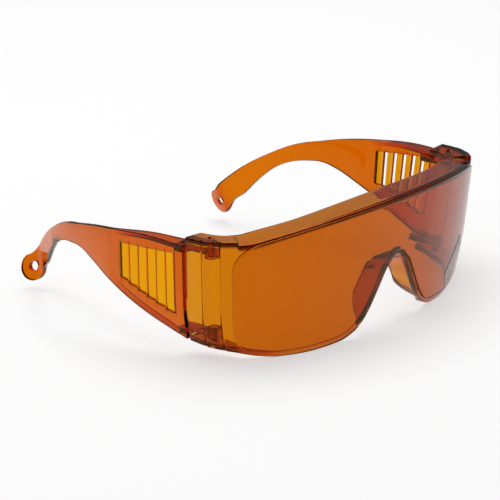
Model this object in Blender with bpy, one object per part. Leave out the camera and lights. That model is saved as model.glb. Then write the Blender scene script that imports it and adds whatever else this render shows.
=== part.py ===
"""Wrap-round visitor safety glasses, worn over spectacles.

The object is three clear amber polycarbonate mouldings held together by
four short hinge pins, with one blank peel-off label on the lens:

  lens_front      one-piece lens with brow shelf, nose bridge and side wings
  temple_right    side arm with top rail, louvred vent and lanyard hole
  temple_left     its mirror image
  hinge_pin_*     upper and lower pin of each side
  label           blank sticker at the wearer's left of the lens

Every shape is first drawn upright in millimetres, then leaned and placed in
metres by `formed`; only the hinge bosses, holes and pins are made in place,
because each side's two must share one straight line.
The front of the lens looks along -Y and the wearer's right is -X.
"""

import math

import bmesh
import bpy
from mathutils import Matrix, Vector

MM = 0.001

# ---------------------------------------------------------------- overall
PIN_LINE = 12.0            # hinge line, behind the drawing's own y = 0
LENGTH_CENTRE = 53.2       # middle of the object's length, in drawing y
TABLE = -2.7               # the table, in drawing z
LEAN_HEIGHT = 24.0         # height at which the leaned walls are drawn true
SIDE_LEAN = 0.09           # side walls lean outwards, per mm of height
SIDE_LEAN_END = (20.0, 80.0)     # the lean dies away along the temple
SIDE_CURL = 3.0            # and curl in by this much at the very bottom
CURL_HEIGHT = 22.0
RAKE = -0.07               # upright lines rake forwards, per mm of height
RAKE_END = (30.0, 75.0)    # and this dies away along the temple too
GAP = 0.3                  # clearance between neighbouring mouldings

# ------------------------------------------------------------- lens front
WALL = 2.2                 # thickness of lens and wings
FRONT_APEX = -19.5         # foremost point of the lens, in drawing y
FRONT_RADIUS = 150.0       # radius of the lens in plan
FRONT_HALF = 68.0          # half width of the plain front curve
CORNER_END_X = 80.6        # where the corner has turned into the side wing
WING_TOE = 3.0             # degrees the wing still opens towards the rear
SEAM = 19.8                # rear end of the wings
ROOF_WALL = 2.0
TOP_CENTRE = 52.3          # height of the front's top edge
TOP_DROP = 5.9             # how much lower it is at FRONT_HALF
TOP_FILLET = 2.4           # rounding between lens and brow shelf
SHELF_DEPTH = ((0, 14.5), (45, 13.5), (70, 12.2), (85, 10.8), (96, 10.4), (101, 9.2), (110, 9.0))
SHELF_DROP = 0.8           # the shelf falls this much to its rear edge
COVER_START = 76.3         # path length where the hinge cover steps up
COVER_RISE = 1.5
COVER_RUN_IN = 42.0        # the shelf's rear edge rises to it from here
STRIP_START = 90.5         # the rear strip of the wing is thinner
STRIP_STEP = 0.4
BAND_END = 83.0            # and the band round the panel is thicker
BAND_STEP = 0.3
LOWER_EDGE = (             # height of the lower edge along the front
    (0, 28.2), (5.5, 24.0), (11.3, 15.0), (15, 9.3), (19, 4.5), (24, 0.9), (32, -1.6),
    (50, -2.7), (62, -2.2), (70, -0.8), (80, 1.7), (92, 3.2), (104, 4.6),
)
FLOOR_DEPTH = ((55, 2.6), (72, 5.0), (84, 9.6), (96, 10.4), (101, 9.2), (110, 9.0))
BRIDGE_DEPTH = 10.5        # how far the nose flange runs back
BRIDGE_DROP = 5.0          # and falls, at its crown
BRIDGE_DROP_END = 14.0
BRIDGE_TAPER = (15.0, 22.0)
BRIDGE_FLARE = 1.0

# ------------------------------------------------------- raised lens panel
PANEL_PROUD = 0.9
PANEL_HALF = 78.7          # half length of the panel along the front
PANEL_TOP_CORNER = 11.0
PANEL_FOOT_CORNER = 5.5
PANEL_TOP_MARGIN = 0.5
PANEL_FOOT_MARGIN = 1.4

# ---------------------------------------------------------------- temples
PLATE = 2.0                # thickness of the side plate
BOW_RADIUS = 300.0         # gentle outward bow of the plate
BOW_CENTRE = 38.0
BOW_END = 48.0
BEND_RADIUS = 130.0         # bend into the arm
BEND_ANGLE = 0.5
PLATE_WIDEST = 82.0
ARM_TOP = ((36, 44.9), (54, 43.4), (68, 41.6), (80, 39.2), (91, 36.6), (102, 31.4), (111, 25.8))
ARM_HOOK_TOP = ((116.6, 21.2), (121.2, 16.8), (125.0, 12.6))
TIP_CENTRE = (122.9, 7.6)
TIP_RADIUS = 5.8
ARM_HOOK_FOOT = ((115.8, 8.8), (111.8, 12.2), (108.2, 16.6), (104, 21.2), (98.6, 25.6))
ARM_FOOT = ((92, 28.6), (85, 29.8), (78, 29.8), (71, 27.4), (60, 21.8), (43, 13.9), (30, 8.7))
ARM_FRONT = (4.9, 44.4)    # lowest and highest point of the seam edge
LANYARD_HOLE = 4.2
FLARE_DIRECTION = (0.925, -0.38)   # the lanyard eye turns back outwards
FLARE_START = 6.0          # this far before the middle of the eye
FLARE_RADIUS = 6.0
FLARE_SLOPE = 0.85
VENT_REAR = 52.8
VENT_FRONT = 24.6
VENT_TOP = (40.6, 38.7)    # front and rear height of the vent's top edge
VENT_FOOT = (14.3, 24.2)
VENT_SLATS = 6
SLAT_WALL = 0.8
SLAT_SWING = 22.0          # degrees each slat is turned from the plate
RAIL_WIDTH = 7.2           # top rail, measured inwards at the hinge end
RAIL_END = 60.0
RAIL_WALL = 2.0
RAIL_ROOT = 0.7            # the rails start this deep inside the plate
RAIL_LEAST = 1.4           # and end this wide, still inside it
LOWER_RAIL_WIDTH = 3.6
LOWER_RAIL_END = 66.0

# ----------------------------------------------------------------- hinges
PIVOT_X = 73.9             # hinge axis at LEAN_HEIGHT
HINGE_SPAN = (8.7, 42.0)   # the axis is straight through these two heights
PIN_RADIUS = 1.25
PIN_HOLE = PIN_RADIUS + GAP
BOSS_RADIUS = 2.5
TONGUE_HALF = 2.2
TONGUE_WALL = 2.2
UPPER_TONGUE = 41.4        # underside of each tongue
LOWER_TONGUE = 7.0
UPPER_BOSS = (40.0, 43.9)
LOWER_BOSS = (6.6, 10.4)
UPPER_PIN = (40.3, 46.6)
LOWER_PIN = (3.9, 10.1)

# ------------------------------------------------------------------ label
LABEL_LENGTH = 22.0
LABEL_WIDTH = 7.5
LABEL_TILT = 33.0          # degrees its length rises towards the side
LABEL_CORNER = (44.0, 6.5)      # path length and height of its inner corner
LABEL_WALL = 0.2


# ============================================================ small helpers
def blend(value, start, end):
    """0 before start, 1 after end, smooth in between."""
    t = min(max((value - start) / (end - start), 0.0), 1.0)
    return t * t * (3.0 - 2.0 * t)


def along(points, value):
    """A smooth curve through (place, amount) points, level beyond the ends."""
    if value <= points[0][0]:
        return points[0][1]
    if value >= points[-1][0]:
        return points[-1][1]
    slopes = [0.0]
    for (x0, y0), (x1, y1), (x2, y2) in zip(points, points[1:], points[2:]):
        before = (y1 - y0) / (x1 - x0)
        after = (y2 - y1) / (x2 - x1)
        slopes.append(0.0 if before * after <= 0 else 2 * before * after / (before + after))
    slopes.append(0.0)
    for i, ((x0, y0), (x1, y1)) in enumerate(zip(points, points[1:])):
        if value <= x1:
            step = x1 - x0
            t = (value - x0) / step
            rise = (y1 - y0) * (3 * t * t - 2 * t ** 3)
            return y0 + rise + step * (slopes[i] * t * (1 - t) ** 2 - slopes[i + 1] * t * t * (1 - t))
    return points[-1][1]


# ================================================================== forming
def side_lean(y):
    return SIDE_LEAN * (1.0 - blend(y, *SIDE_LEAN_END))


def rake(y):
    return RAKE * (1.0 - blend(y, *RAKE_END))


def curl(y, z):
    low = max(0.0, (CURL_HEIGHT - z) / CURL_HEIGHT)
    return SIDE_CURL * low * low * (1.0 - blend(y, *SIDE_LEAN_END))


def formed(x, y, z):
    """Leans an upright drawing point and gives its place in metres."""
    height = z - LEAN_HEIGHT
    share = x / PLATE_WIDEST
    leaned_x = x + (side_lean(y) * height - curl(y, z)) * share
    leaned_y = y + rake(y) * height - LENGTH_CENTRE
    return Vector((leaned_x, leaned_y, z - TABLE)) * MM


def hinge_point(side, height):
    """Place of a height on one side's straight hinge line."""
    low, high = HINGE_SPAN
    foot = formed(side * PIVOT_X, PIN_LINE, low)
    head = formed(side * PIVOT_X, PIN_LINE, high)
    return foot.lerp(head, (height - low) / (high - low))


# ================================================================ front plan
FRONT_TURN = math.asin(FRONT_HALF / FRONT_RADIUS)
WING_TURN = math.radians(90.0 - WING_TOE)
CORNER_RADIUS = (CORNER_END_X - FRONT_HALF) / (math.sin(WING_TURN) - math.sin(FRONT_TURN))
FRONT_PATH = FRONT_RADIUS * FRONT_TURN
CORNER_PATH = CORNER_RADIUS * (WING_TURN - FRONT_TURN)
FRONT_END_Y = FRONT_APEX + FRONT_RADIUS * (1.0 - math.cos(FRONT_TURN))
CORNER_END_Y = FRONT_END_Y + CORNER_RADIUS * (math.cos(FRONT_TURN) - math.cos(WING_TURN))
WING_END = FRONT_PATH + CORNER_PATH + (SEAM - GAP - CORNER_END_Y) / math.sin(WING_TURN)


def front_plan(path):
    """Point and inward direction on the outer face, path mm from the middle."""
    run = abs(path)
    if run <= FRONT_PATH:
        turn = run / FRONT_RADIUS
        x = FRONT_RADIUS * math.sin(turn)
        y = FRONT_APEX + FRONT_RADIUS * (1.0 - math.cos(turn))
    elif run <= FRONT_PATH + CORNER_PATH:
        turn = FRONT_TURN + (run - FRONT_PATH) / CORNER_RADIUS
        x = FRONT_HALF + CORNER_RADIUS * (math.sin(turn) - math.sin(FRONT_TURN))
        y = FRONT_END_Y + CORNER_RADIUS * (math.cos(FRONT_TURN) - math.cos(turn))
    else:
        turn = WING_TURN
        rest = run - FRONT_PATH - CORNER_PATH
        x = CORNER_END_X + rest * math.cos(turn)
        y = CORNER_END_Y + rest * math.sin(turn)
    side = math.copysign(1.0, path)
    return side * x, y, -side * math.sin(turn), math.cos(turn)


def plain_top(path):
    x = min(abs(front_plan(path)[0]), FRONT_HALF)
    return TOP_CENTRE - TOP_DROP * (x / FRONT_HALF) ** 2


def top_edge(path):
    return plain_top(path) + (COVER_RISE if abs(path) > COVER_START else 0.0)


def lower_edge(path):
    """Height of the lower edge, and how steep it is there."""
    run = abs(path)
    rise = along(LOWER_EDGE, run + 0.5) - along(LOWER_EDGE, max(run - 0.5, 0.0))
    return along(LOWER_EDGE, run), abs(rise)


# ================================================================== meshing
def make_object(name, mesh, collection):
    item = bpy.data.objects.new(name, mesh)
    collection.objects.link(item)
    return item


def loft(name, sections, collection):
    """Closed solid through rings that all have the same number of points."""
    bm = bmesh.new()
    rings = [[bm.verts.new(point) for point in ring] for ring in sections]
    count = len(rings[0])
    for before, after in zip(rings, rings[1:]):
        for i in range(count):
            j = (i + 1) % count
            bm.faces.new((before[i], before[j], after[j], after[i]))
    bm.faces.new(rings[0])
    bm.faces.new(rings[-1])
    bmesh.ops.recalc_face_normals(bm, faces=bm.faces)
    mesh = bpy.data.meshes.new(name)
    bm.to_mesh(mesh)
    bm.free()
    return make_object(name, mesh, collection)


def boolean(target, tool, operation):
    cut = target.modifiers.new(operation.title() + " " + tool.name, "BOOLEAN")
    cut.operation = operation
    cut.solver = "EXACT"
    cut.object = tool
    apply_modifiers(target)


def apply_modifiers(item):
    graph = bpy.context.evaluated_depsgraph_get()
    mesh = bpy.data.meshes.new_from_object(item.evaluated_get(graph))
    item.modifiers.clear()
    item.data = mesh


def reshape(item, function):
    """Moves every corner of an upright drawing to its formed place."""
    bm = bmesh.new()
    bm.from_mesh(item.data)
    for vert in bm.verts:
        vert.co = function(*vert.co)
    bmesh.ops.recalc_face_normals(bm, faces=bm.faces)
    bm.to_mesh(item.data)
    bm.free()


# =============================================================== lens front
RISE_LEVELS = (0.1, 0.2, 0.3, 0.42)


def outer_offset(path):
    """How far the outer face lies inside the plain front curve."""
    if abs(path) > STRIP_START:
        return STRIP_STEP
    if abs(path) < BAND_END:
        return -BAND_STEP
    return 0.0


def section_point(path, depth, z):
    x, y, inward_x, inward_y = front_plan(path)
    return x + inward_x * depth, y + inward_y * depth, z


def front_ring(path):
    x = abs(front_plan(path)[0])
    outer = outer_offset(path)
    top = top_edge(path)
    shelf = along(SHELF_DEPTH, abs(path))
    rear = plain_top(path) - SHELF_DROP + COVER_RISE * blend(abs(path), COVER_RUN_IN, COVER_START)
    foot, slope = lower_edge(path)
    rear_foot, _ = lower_edge(max(x - BRIDGE_FLARE, 0.0) if x < BRIDGE_TAPER[1] else path)
    rear_foot -= BRIDGE_DROP * (1.0 - blend(x, 0.0, BRIDGE_DROP_END))
    floor_wall = WALL * math.hypot(1.0, slope)
    plain_floor = along(FLOOR_DEPTH, abs(path))
    floor = plain_floor + (BRIDGE_DEPTH - plain_floor) * (1.0 - blend(x, *BRIDGE_TAPER))
    shoulder = top - TOP_FILLET
    ceiling = top - ROOF_WALL - TOP_FILLET * 0.5
    inner_foot = foot + floor_wall
    ring = [(outer, foot)]
    ring += [(outer, foot + (shoulder - foot) * level) for level in RISE_LEVELS]
    ring += [
        (outer, shoulder),
        (outer + TOP_FILLET * 0.13, top - TOP_FILLET * 0.5),
        (outer + TOP_FILLET * 0.5, top - TOP_FILLET * 0.13),
        (outer + TOP_FILLET, top),
        (shelf, rear),
        (shelf, rear - ROOF_WALL),
        (WALL + TOP_FILLET * 0.5, top - ROOF_WALL - TOP_FILLET * 0.1),
        (WALL, ceiling),
    ]
    ring += [(WALL, inner_foot + (ceiling - inner_foot) * level) for level in reversed(RISE_LEVELS)]
    ring += [
        (WALL, inner_foot),
        (floor, rear_foot + floor_wall),
        (floor, rear_foot),
    ]
    return [section_point(path, depth, z) for depth, z in ring]


def front_stations():
    """Path lengths of the rings over one half, closest where it bends most."""
    nose = [0.0, 1.4, 2.8, 4.4, 6.0, 7.8, 9.6, 11.4, 13.2, 15.0, 16.8, 18.8, 21.5, 25.0]
    front = [31.0, 38.0, 45.0, 52.0, 58.5, 65.0, 70.5]
    corner = [COVER_START - 0.4, COVER_START + 0.4, 77.7, 80.4, BAND_END - 0.25, BAND_END + 0.25, 86.5]
    wing = [STRIP_START - 0.2, STRIP_START + 0.2, 94.0, WING_END]
    half = nose + front + corner + wing
    return [-path for path in reversed(half[1:])] + half


def panel_inset(path, corner):
    """How much a rounded corner of the panel takes off its height."""
    rest = max(corner - (PANEL_HALF - abs(path)), 0.0)
    return corner - math.sqrt(corner * corner - rest * rest)


def panel_ring(path):
    foot, slope = lower_edge(path)
    foot += PANEL_FOOT_MARGIN * math.hypot(1.0, slope) + panel_inset(path, PANEL_FOOT_CORNER)
    top = plain_top(path) - PANEL_TOP_MARGIN - panel_inset(path, PANEL_TOP_CORNER)
    proud = -PANEL_PROUD
    root = 1.0
    outer = [(proud, foot + (top - foot) * level) for level in (0.0, 0.12, 0.25, 0.4, 1.0)]
    inner = [(root, z) for _, z in reversed(outer)]
    return [section_point(path, depth, z) for depth, z in outer + inner]


def panel_stations():
    nose = [0.0, 2.0, 4.0, 6.0, 8.0, 10.0, 12.0, 14.0, 16.0, 18.0, 20.0, 24.0, 32.0, 40.0, 48.0, 56.0, 64.0]
    turns = [math.radians(angle) for angle in (90, 66, 50, 36, 24, 12, 0)]
    corner = [PANEL_HALF - PANEL_TOP_CORNER * (1.0 - math.cos(turn)) for turn in turns]
    half = nose + corner
    return [-path for path in reversed(half[1:])] + half


def hinge_cylinder(name, radius, span, side, collection):
    """Cylinder on one side's hinge line, in place, between two heights."""
    foot, head = (hinge_point(side, height) for height in span)
    turn = (head - foot).to_track_quat("Z", "Y").to_matrix().to_4x4()
    bm = bmesh.new()
    bmesh.ops.create_cone(
        bm, cap_ends=True, segments=20, radius1=radius * MM, radius2=radius * MM,
        depth=(head - foot).length, matrix=Matrix.Translation(foot.lerp(head, 0.5)) @ turn,
    )
    mesh = bpy.data.meshes.new(name)
    bm.to_mesh(mesh)
    bm.free()
    return make_object(name, mesh, collection)


def box(name, low, high, collection):
    bm = bmesh.new()
    bmesh.ops.create_cube(bm, size=1.0)
    size = [b - a for a, b in zip(low, high)]
    middle = [0.5 * (a + b) for a, b in zip(low, high)]
    bmesh.ops.scale(bm, vec=size, verts=bm.verts)
    bmesh.ops.translate(bm, vec=middle, verts=bm.verts)
    mesh = bpy.data.meshes.new(name)
    bm.to_mesh(mesh)
    bm.free()
    return make_object(name, mesh, collection)


def triangulated(item):
    bm = bmesh.new()
    bm.from_mesh(item.data)
    bmesh.ops.triangulate(bm, faces=bm.faces)
    bm.to_mesh(item.data)
    bm.free()


def build_front(parts, cutters):
    front = loft("lens_front", [front_ring(path) for path in front_stations()], parts)
    panel = loft("raised panel", [panel_ring(path) for path in panel_stations()], cutters)
    boolean(front, panel, "UNION")
    triangulated(front)
    reshape(front, formed)
    for side in (-1, 1):
        boolean(front, hinge_cylinder("pin hole", PIN_HOLE, (-10.0, 60.0), side, cutters), "DIFFERENCE")


# ================================================================= temples
def temple_plan(y):
    """Half width of the outer face of a temple at drawing depth y."""
    y = max(y, SEAM)
    if y <= BOW_END:
        return PLATE_WIDEST - (y - BOW_CENTRE) ** 2 / (2.0 * BOW_RADIUS)
    start = (BOW_END - BOW_CENTRE) / BOW_RADIUS
    bend_end = BOW_END + BEND_RADIUS * (math.sin(BEND_ANGLE) - math.sin(start))
    at_start = temple_plan(BOW_END)
    if y <= bend_end:
        turn = math.asin(math.sin(start) + (y - BOW_END) / BEND_RADIUS)
        return at_start - BEND_RADIUS * (math.cos(start) - math.cos(turn))
    at_end = at_start - BEND_RADIUS * (math.cos(start) - math.cos(BEND_ANGLE))
    return at_end - (y - bend_end) * math.tan(BEND_ANGLE)


def flare(y, z):
    """How far the end of the arm has turned outwards at a place."""
    past = FLARE_START + (y - TIP_CENTRE[0]) * FLARE_DIRECTION[0]
    past += (z - TIP_CENTRE[1]) * FLARE_DIRECTION[1]
    curved = min(max(past, 0.0), FLARE_RADIUS * FLARE_SLOPE)
    return curved * curved / (2.0 * FLARE_RADIUS) + FLARE_SLOPE * max(past - curved, 0.0)


def flat_shape(name, outline, low, high, collection, rounded=()):
    """Flat outline in the (y, z) plane, solid from depth low to depth high."""
    curve = bpy.data.curves.new(name, "CURVE")
    curve.dimensions = "2D"
    curve.fill_mode = "BOTH"
    curve.extrude = 0.5 * (high - low)
    spline = curve.splines.new("BEZIER")
    spline.bezier_points.add(len(outline) - 1)
    spline.use_cyclic_u = True
    spline.resolution_u = 4
    for i, (point, (y, z)) in enumerate(zip(spline.bezier_points, outline)):
        kind = "AUTO" if i in rounded else "VECTOR"
        point.co = (y, z, 0.0)
        point.handle_left_type = kind
        point.handle_right_type = kind
    guide = make_object(name, curve, collection)
    graph = bpy.context.evaluated_depsgraph_get()
    mesh = bpy.data.meshes.new_from_object(guide.evaluated_get(graph))
    bpy.data.objects.remove(guide)
    bm = bmesh.new()
    bm.from_mesh(mesh)
    bmesh.ops.remove_doubles(bm, verts=bm.verts, dist=0.0001)
    bmesh.ops.dissolve_limit(bm, angle_limit=0.001, verts=bm.verts, edges=bm.edges)
    middle = 0.5 * (low + high)
    for vert in bm.verts:
        y, z, depth = vert.co
        vert.co = (depth + middle, y, z)
    bmesh.ops.recalc_face_normals(bm, faces=bm.faces)
    bm.to_mesh(mesh)
    bm.free()
    return make_object(name, mesh, collection)


def tip_arc():
    """Points round the lanyard eye, from its upper front to its lower rear."""
    y, z = TIP_CENTRE
    turns = [math.radians(angle) for angle in (36, 0, -40, -80, -120, -150)]
    return [(y + TIP_RADIUS * math.cos(turn), z + TIP_RADIUS * math.sin(turn)) for turn in turns]


def arm_outline():
    low, high = ARM_FRONT
    seam = SEAM + GAP
    outline = [(seam, low), (seam, high)]
    outline += list(ARM_TOP) + list(ARM_HOOK_TOP) + tip_arc() + list(ARM_HOOK_FOOT) + list(ARM_FOOT)
    return outline


def vent_outline():
    """The vent is straight at the top and steps down slat by slat below."""
    pitch = (VENT_REAR - VENT_FRONT) / VENT_SLATS
    outline = [(VENT_FRONT, VENT_TOP[0]), (VENT_REAR, VENT_TOP[1])]
    for i in range(VENT_SLATS):
        rear = VENT_REAR - i * pitch
        share = (rear - VENT_FRONT) / (VENT_REAR - VENT_FRONT)
        height = VENT_FOOT[0] + (VENT_FOOT[1] - VENT_FOOT[0]) * share
        fall = (VENT_FOOT[1] - VENT_FOOT[0]) / VENT_SLATS * 0.45
        outline += [(rear, height), (rear - pitch, height - fall)]
    return outline


def build_slats(collection):
    """Six upright blades, front edges inboard, as one set of solids."""
    pitch = (VENT_REAR - VENT_FRONT) / VENT_SLATS
    bm = bmesh.new()
    for i in range(VENT_SLATS):
        centre = VENT_FRONT + (i + 0.5) * pitch
        share = (i + 0.5) / VENT_SLATS
        low = VENT_FOOT[0] + (VENT_FOOT[1] - VENT_FOOT[0]) * share - 1.6
        high = VENT_TOP[0] + (VENT_TOP[1] - VENT_TOP[0]) * share + 1.0
        blade = bmesh.ops.create_cube(bm, size=1.0)["verts"]
        bmesh.ops.scale(bm, vec=(SLAT_WALL, pitch, high - low), verts=blade)
        bmesh.ops.rotate(bm, matrix=Matrix.Rotation(math.radians(SLAT_SWING), 3, "Z"), verts=blade)
        bmesh.ops.translate(bm, vec=(PLATE * 0.5, centre, 0.5 * (low + high)), verts=blade)
    mesh = bpy.data.meshes.new("slats")
    bm.to_mesh(mesh)
    bm.free()
    return make_object("slats", mesh, collection)


def arm_top(y):
    return along(((SEAM, ARM_FRONT[1]),) + ARM_TOP, y)


def arm_foot(y):
    return along(((SEAM, ARM_FRONT[0]),) + tuple(reversed(ARM_FOOT)), y)


def build_rail(collection):
    """Top rail: widest at the hinge end, lost in the plate at its rear end."""
    rings = []
    for i in range(9):
        share = i / 8.0
        y = SEAM + GAP + (RAIL_END - SEAM - GAP) * share
        width = RAIL_LEAST + (RAIL_WIDTH - RAIL_LEAST) * (1.0 - share) ** 0.9
        top = arm_top(y) - 0.2
        inner_top = top + 0.08 * width
        rings.append([
            (RAIL_ROOT, y, top), (width, y, inner_top),
            (width, y, inner_top - RAIL_WALL), (RAIL_ROOT, y, top - RAIL_WALL),
        ])
    return loft("top rail", rings, collection)


def build_lower_rail(collection):
    rings = []
    for i in range(9):
        share = i / 8.0
        y = SEAM + GAP + (LOWER_RAIL_END - SEAM - GAP) * share
        width = RAIL_LEAST + (LOWER_RAIL_WIDTH - RAIL_LEAST) * (1.0 - share) ** 0.7
        foot = arm_foot(y) + 0.3
        rings.append([
            (RAIL_ROOT, y, foot), (width, y, foot),
            (width, y, foot + RAIL_WALL), (RAIL_ROOT, y, foot + RAIL_WALL),
        ])
    return loft("lower rail", rings, collection)


def build_tongue(low, collection):
    """Flat tongue that reaches forward to the pin, and its thicker root."""
    depth = temple_plan(SEAM) - PIVOT_X
    seam = SEAM + GAP
    inner = depth + TONGUE_HALF
    high = low + TONGUE_WALL
    tongue = box("tongue", (depth - TONGUE_HALF, PIN_LINE, low), (inner, seam + 4.0, high), collection)
    root = box("tongue root", (1.0, seam, low - 0.2), (inner - 0.3, seam + 5.0, high + 0.2), collection)
    return [tongue, root]


def build_lanyard_hole(collection):
    bm = bmesh.new()
    bmesh.ops.create_cone(
        bm, cap_ends=True, segments=24, radius1=LANYARD_HOLE / 2, radius2=LANYARD_HOLE / 2, depth=12.0,
        matrix=Matrix.Translation((1.0, *TIP_CENTRE)) @ Matrix.Rotation(math.pi / 2, 4, "Y"),
    )
    mesh = bpy.data.meshes.new("lanyard hole")
    bm.to_mesh(mesh)
    bm.free()
    return make_object("lanyard hole", mesh, collection)


PLAN_STATIONS = (
    24, 28, 33, 38, 43, 48, 51, 54, 57, 60, 63, 66, 70, 75, 80, 86, 92, 98, 104,
    108, 112, 115, 117, 119, 121, 123, 125, 127,
)
CURL_LEVELS = (4.0, 8.0, 11.5, 15.0, 22.0)


def sliced(item, stations):
    """Cuts every face at the stations, so that the plate can bend there."""
    bm = bmesh.new()
    bm.from_mesh(item.data)
    for y in stations:
        geometry = bm.verts[:] + bm.edges[:] + bm.faces[:]
        bmesh.ops.bisect_plane(bm, geom=geometry, plane_co=(0, y, 0), plane_no=(0, 1, 0), dist=0.00001)
    for z in CURL_LEVELS:
        geometry = bm.verts[:] + bm.edges[:] + bm.faces[:]
        bmesh.ops.bisect_plane(bm, geom=geometry, plane_co=(0, 0, z), plane_no=(0, 0, 1), dist=0.00001)
    bmesh.ops.triangulate(bm, faces=bm.faces)
    bm.to_mesh(item.data)
    bm.free()


def build_temple(name, side, parts, cutters):
    outline = arm_outline()
    rounded = range(2, len(outline))
    arm = flat_shape(name, outline, 0.0, PLATE, parts, rounded)
    vent = flat_shape("vent", vent_outline(), -1.0, PLATE + 1.0, cutters)
    boolean(arm, vent, "DIFFERENCE")
    additions = [build_rail(cutters), build_lower_rail(cutters), build_slats(cutters)]
    additions += build_tongue(UPPER_TONGUE, cutters) + build_tongue(LOWER_TONGUE, cutters)
    for addition in additions:
        boolean(arm, addition, "UNION")
    boolean(arm, build_lanyard_hole(cutters), "DIFFERENCE")
    sliced(arm, PLAN_STATIONS)

    def placed(depth_in, y, z):
        return formed(side * (temple_plan(y) + flare(y, z) - depth_in), y, z)

    reshape(arm, placed)
    for span in (UPPER_BOSS, LOWER_BOSS):
        boolean(arm, hinge_cylinder("boss", BOSS_RADIUS, span, side, cutters), "UNION")
    boolean(arm, hinge_cylinder("pin bore", PIN_HOLE, (-10.0, 60.0), side, cutters), "DIFFERENCE")
    return arm


# ==================================================================== label
def label_point(length, width, depth):
    """A place on the label, from its inner corner along and down its tilt."""
    tilt = math.radians(LABEL_TILT)
    path = LABEL_CORNER[0] + length * math.cos(tilt) + width * math.sin(tilt)
    z = LABEL_CORNER[1] + length * math.sin(tilt) - width * math.cos(tilt)
    return section_point(path, depth, z)


def build_label(parts):
    under = -PANEL_PROUD - GAP
    widths = [LABEL_WIDTH * j / 3.0 for j in range(4)]
    rings = []
    for i in range(9):
        length = LABEL_LENGTH * i / 8.0
        ring = [label_point(length, width, under) for width in widths]
        ring += [label_point(length, width, under - LABEL_WALL) for width in reversed(widths)]
        rings.append(ring)
    label = loft("label", rings, parts)
    reshape(label, formed)


# ================================================================= materials
def material(name, colour, roughness):
    look = bpy.data.materials.new(name)
    look.use_nodes = True
    shader = look.node_tree.nodes["Principled BSDF"]
    shader.inputs["Base Color"].default_value = (*colour, 1.0)
    shader.inputs["Roughness"].default_value = roughness
    shader.inputs["Metallic"].default_value = 0.0
    return look


def set_origin(item, place):
    """Moves an object's origin to a place without moving its shape."""
    item.data.transform(Matrix.Translation(-place))
    item.location = place


def main():
    for item in list(bpy.data.objects):
        bpy.data.objects.remove(item)
    parts = bpy.data.collections.new("safety_glasses")
    cutters = bpy.data.collections.new("cutters")
    for collection in (parts, cutters):
        bpy.context.scene.collection.children.link(collection)
    build_front(parts, cutters)
    for word, side in (("right", -1), ("left", 1)):
        temple = build_temple("temple_" + word, side, parts, cutters)
        set_origin(temple, hinge_point(side, LEAN_HEIGHT))
        hinge_cylinder("hinge_pin_upper_" + word, PIN_RADIUS, UPPER_PIN, side, parts)
        hinge_cylinder("hinge_pin_lower_" + word, PIN_RADIUS, LOWER_PIN, side, parts)
    build_label(parts)
    amber = material("amber polycarbonate", (0.62, 0.16, 0.0), 0.08)
    paper = material("blank paper label", (0.5, 0.44, 0.42), 0.5)
    for item in parts.objects:
        item.data.materials.clear()
        item.data.materials.append(paper if item.name == "label" else amber.copy())
    for item in list(cutters.objects):
        item.hide_render = True
        item.display_type = "WIRE"


main()
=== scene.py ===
"""Looks of a pair of wrap-round visitor safety glasses in clear amber polycarbonate.

The mouldings are drawn upright in millimetres, as the CAD draws them, with more
points and rounder edges, then leaned and placed by `formed`.
"""

import math

import bmesh
import bpy
from mathutils import Matrix, Vector


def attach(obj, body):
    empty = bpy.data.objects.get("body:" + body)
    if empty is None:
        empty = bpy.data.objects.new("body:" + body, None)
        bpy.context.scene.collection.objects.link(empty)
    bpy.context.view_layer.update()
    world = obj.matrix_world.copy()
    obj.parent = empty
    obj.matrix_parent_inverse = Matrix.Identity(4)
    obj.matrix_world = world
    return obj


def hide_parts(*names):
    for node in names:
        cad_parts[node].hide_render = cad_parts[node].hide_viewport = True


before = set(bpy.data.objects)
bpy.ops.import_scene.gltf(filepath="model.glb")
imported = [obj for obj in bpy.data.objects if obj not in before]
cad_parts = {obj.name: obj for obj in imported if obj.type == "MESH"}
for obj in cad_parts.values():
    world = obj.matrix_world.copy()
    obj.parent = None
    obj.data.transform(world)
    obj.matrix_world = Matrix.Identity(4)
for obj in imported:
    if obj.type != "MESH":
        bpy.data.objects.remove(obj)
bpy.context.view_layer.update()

MM = 0.001

# ------------------------------------ the design's own numbers, in millimetres
# Drawing places are half width x, depth y and height z; "path" is the length
# along the front's outer face from the middle.
PIN_LINE = 12.0                  # depth of the hinge line
LENGTH_CENTRE = 53.2             # depth that lands on the frame's origin
TABLE = -2.7                     # height of the lowest edge
LEAN_HEIGHT = 24.0               # height that leaning leaves in place
SIDE_LEAN = 0.09                 # outward lean of the sides, per mm of height
SIDE_LEAN_END = (20.0, 80.0)     # depths between which the lean fades
SIDE_CURL = 3.0                  # how far the foot of the sides curls inwards
CURL_HEIGHT = 22.0
RAKE = -0.07                     # forward lean of the lens, per mm of height
RAKE_END = (30.0, 75.0)
GAP = 0.3                        # clearance between neighbouring mouldings

WALL = 2.2
FRONT_APEX = -19.5               # depth of the lens's foremost line
FRONT_RADIUS = 150.0
FRONT_HALF = 68.0                # half width where the lens meets the corner
CORNER_END_X = 80.6              # half width where the corner meets the wing
WING_TOE = 3.0                   # degrees that each wing spreads
SEAM = 19.8                      # depth where wing and arm meet
ROOF_WALL = 2.0
ROOF_FALL = 0.2                  # extra wall of the shelf where it meets the lens
TOP_CENTRE = 52.3
TOP_DROP = 5.9                   # fall of the top edge from the middle to the corner
SHELF_DEPTH = (                  # (path, depth) of the brow shelf
    (0, 14.5), (45, 13.5), (70, 12.2), (85, 10.8), (96, 10.4), (101, 9.2), (110, 9.0),
)
SHELF_DROP = 0.8                 # fall of the shelf towards its rear edge
COVER_START = 76.3               # path where the hinge cover starts
COVER_RISE = 1.5
COVER_EDGE = 0.4                 # half the run of its step
COVER_RUN_IN = 42.0
STRIP_START = 90.5               # path where the wing's thinner rear strip starts
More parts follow.
